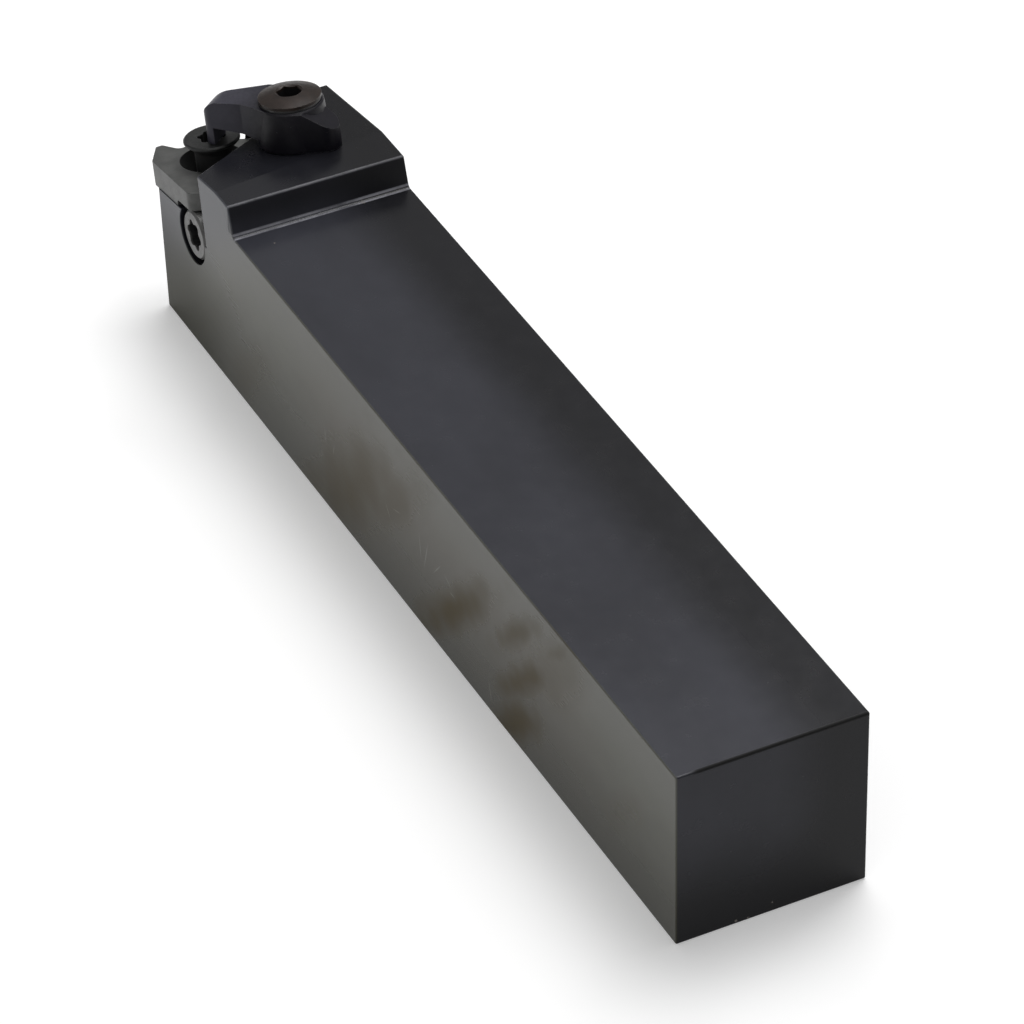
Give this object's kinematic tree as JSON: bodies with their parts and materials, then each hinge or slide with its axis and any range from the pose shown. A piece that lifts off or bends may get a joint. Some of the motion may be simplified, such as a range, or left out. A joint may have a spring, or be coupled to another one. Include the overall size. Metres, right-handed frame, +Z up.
{
  "type": "threading tool holder",
  "caption": "Square-shank external threading tool holder with a raised head, a triangular insert pocket with an anvil, a finger clamp and its screws.",
  "frame": {"origin": "centre of the shank's square rear face", "axes": "+X along the shank towards the cutting end, +Y towards the left flank with the insert pocket, +Z up out of the shank's top"},
  "size_m": [0.1501, 0.025, 0.0353],
  "materials": {
    "black_oxide_steel": "satin black oxide with a lighter grey-green left flank",
    "bare_anvil_steel": "fine-ground grey",
    "black_clamp_steel": "satin black",
    "bronze_screw_steel": "dark bronze-brown satin",
    "dark_screw_steel": "dark grey satin",
    "grey_screw_steel": "turned bare steel",
    "washer_steel": "black",
    "spring_steel": "drawn wire"
  },
  "bodies": {
    "holder": {"holder_body": "black_oxide_steel", "anvil": "bare_anvil_steel", "clamp_spring": "spring_steel"},
    "lift": {"clamp_washer": "washer_steel"},
    "clamp": {"clamp": "black_clamp_steel"},
    "clamp_screw": {"clamp_screw": "bronze_screw_steel"},
    "insert_screw": {"insert_screw": "dark_screw_steel"},
    "anvil_screw": {"anvil_screw": "grey_screw_steel"}
  },
  "joints": [
    {"name": "clamp_lift", "type": "slide", "parent": "holder", "child": "lift", "axis": [0.1564, 0.0172, 0.9875], "range_m": [0, 0.003], "deforming": ["clamp_spring"]},
    {"name": "clamp_screw_turn", "type": "hinge", "parent": "lift", "child": "clamp_screw", "pos_m": [0.1332, -0.00232, 0.01556], "axis": [0.1564, 0.0172, 0.9875], "range_deg": [0, 1350]},
    {"name": "clamp_swivel", "type": "hinge", "parent": "lift", "child": "clamp", "pos_m": [0.1332, -0.00232, 0.01556], "axis": [0.1564, 0.0172, 0.9875], "range_deg": [0, 30]},
    {"name": "insert_screw_turn", "type": "hinge", "parent": "holder", "child": "insert_screw", "pos_m": [0.14145, 0.00571, 0.00981], "axis": [0.1564, 0.0172, 0.9875], "range_deg": [0, 1080]},
    {"name": "anvil_screw_turn", "type": "hinge", "parent": "holder", "child": "anvil_screw", "pos_m": [0.1341, 0.0125, 0.00465], "axis": [0, 1, 0], "range_deg": [0, 1080]}
  ],
  "couplings": [
    {"joint": "clamp_screw_turn", "follows": "clamp_lift", "rad_per_m": 7854}
  ]
}
